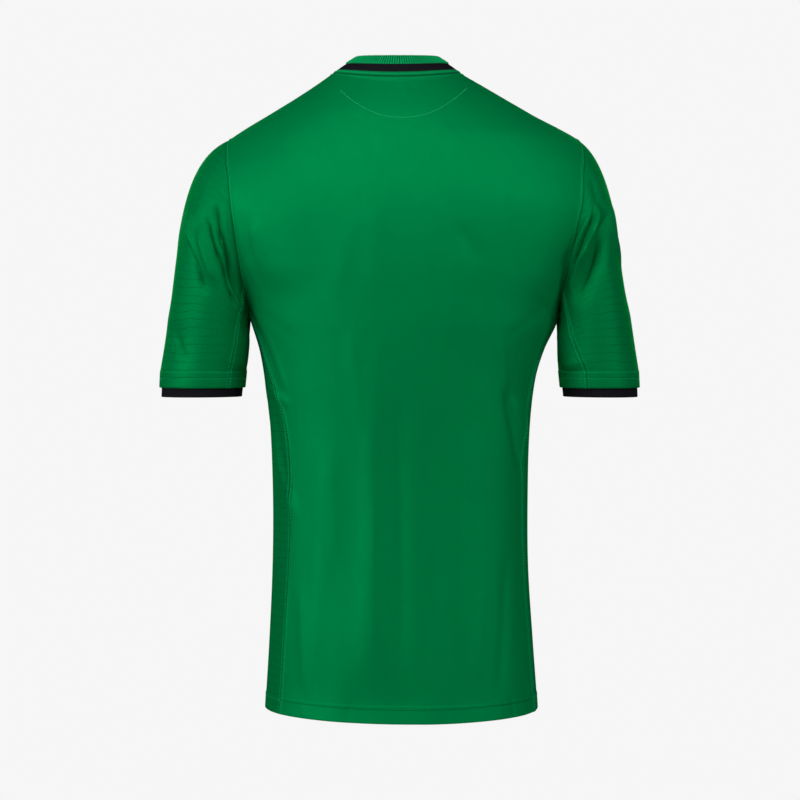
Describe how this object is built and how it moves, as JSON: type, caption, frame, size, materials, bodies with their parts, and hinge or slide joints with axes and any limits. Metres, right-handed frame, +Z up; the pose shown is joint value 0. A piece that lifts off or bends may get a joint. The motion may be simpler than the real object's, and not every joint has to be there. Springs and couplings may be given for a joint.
{
  "type": "football jersey",
  "caption": "Short-sleeved knitted football jersey, worn-form and hollow, with side panels, underarm gussets, ribbed striped collar and dark cuff trim",
  "frame": {"origin": "the middle of the neck, level with the highest points of the shoulders, where the wearer's neck and shoulders carry the jersey", "axes": "+X is the wearer's left, -Y is the front, +Y is the back, +Z is up; the jersey hangs down along -Z"},
  "size_m": [0.5478, 0.2569, 0.7449],
  "materials": {
    "body_knit": "smooth fine warp-knitted polyester in bright green, with a satin sheen",
    "sleeve_knit": "the same green knit with thin raised lines across it about 10 mm apart",
    "collar_knit": "bright green knit, ribbed along the collar's top edge, matt",
    "dark_trim": "near-black smooth knitted trim"
  },
  "bodies": {
    "root": {"back_panel": "body_knit", "front_panel": "body_knit", "side_panel_left": "sleeve_knit", "side_panel_right": "sleeve_knit", "sleeve_left": "sleeve_knit", "sleeve_right": "sleeve_knit", "sleeve_gusset_left": "body_knit", "sleeve_gusset_right": "body_knit", "collar_binding": "collar_knit", "collar_stripe": "dark_trim", "collar_rib": "collar_knit", "cuff_trim_left": "dark_trim", "cuff_trim_right": "dark_trim"}
  },
  "joints": []
}
